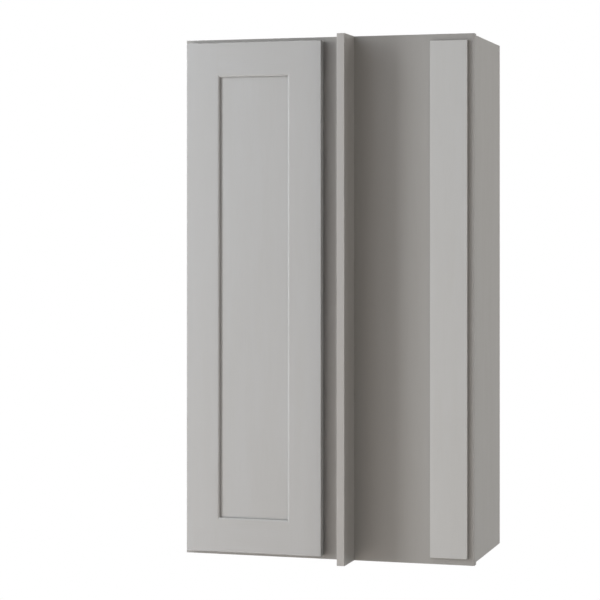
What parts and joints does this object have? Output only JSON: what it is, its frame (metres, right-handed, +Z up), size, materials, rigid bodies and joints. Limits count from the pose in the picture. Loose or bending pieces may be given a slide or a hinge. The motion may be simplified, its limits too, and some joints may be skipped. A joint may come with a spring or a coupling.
{
  "type": "blind corner wall cabinet",
  "caption": "Framed blind-corner wall cabinet: narrow recessed-panel door on concealed hinges, square corner post, blind front with loose filler strip, adjustable shelves inside.",
  "frame": {"origin": "on the wall plane, at the middle of the cabinet's bottom edge", "axes": "+X to the right seen from the front, +Y back into the wall, +Z up"},
  "size_m": [0.6096, 0.381, 1.0668],
  "materials": {
    "painted_wood": "light warm grey paint, satin",
    "painted_plywood": "light warm grey outside, clear-coated birch inside",
    "clear_plywood": "clear-coated birch plywood, satin",
    "nickel_casting": "nickel-plated casting",
    "nickel_steel": "nickel-plated pressed steel",
    "screw_steel": "zinc-plated",
    "spacer_rubber": "matt",
    "clear_rubber": "translucent, soft"
  },
  "bodies": {
    "cabinet": {"hinge_side_stile": "painted_wood", "centre_stile": "painted_wood", "top_frame_rail": "painted_wood", "bottom_frame_rail": "painted_wood", "blind_panel": "painted_wood", "corner_post": "painted_wood", "filler_strip": "painted_wood", "left_side": "painted_plywood", "right_side": "painted_plywood", "top_deck": "clear_plywood", "bottom_deck": "clear_plywood", "back_panel": "clear_plywood", "upper_hanging_rail": "clear_plywood", "lower_hanging_rail": "clear_plywood", "lower_shelf": "clear_plywood", "middle_shelf": "clear_plywood", "upper_shelf": "clear_plywood", "shelf_pins": "nickel_steel", "post_screws": "screw_steel", "filler_screws": "screw_steel", "hinge_plate_screws": "screw_steel", "hinge_adjusting_screws": "screw_steel", "lower_hinge_arm": "nickel_steel", "lower_hinge_plate": "nickel_steel", "middle_hinge_arm": "nickel_steel", "middle_hinge_plate": "nickel_steel", "upper_hinge_arm": "nickel_steel", "upper_hinge_plate": "nickel_steel"},
    "door": {"door_hinge_stile": "painted_wood", "door_free_stile": "painted_wood", "door_bottom_rail": "painted_wood", "door_top_rail": "painted_wood", "door_panel": "painted_wood", "panel_spacers": "spacer_rubber", "door_bumpers": "clear_rubber", "hinge_cup_screws": "screw_steel", "lower_hinge_cup": "nickel_casting", "lower_hinge_pin": "nickel_steel", "middle_hinge_cup": "nickel_casting", "middle_hinge_pin": "nickel_steel", "upper_hinge_cup": "nickel_casting", "upper_hinge_pin": "nickel_steel"}
  },
  "joints": [
    {"name": "door_hinge", "type": "hinge", "parent": "cabinet", "child": "door", "pos_m": [-0.28986, -0.317, 0.5334], "axis": [0, 0, -1], "range_deg": [0, 105]}
  ]
}
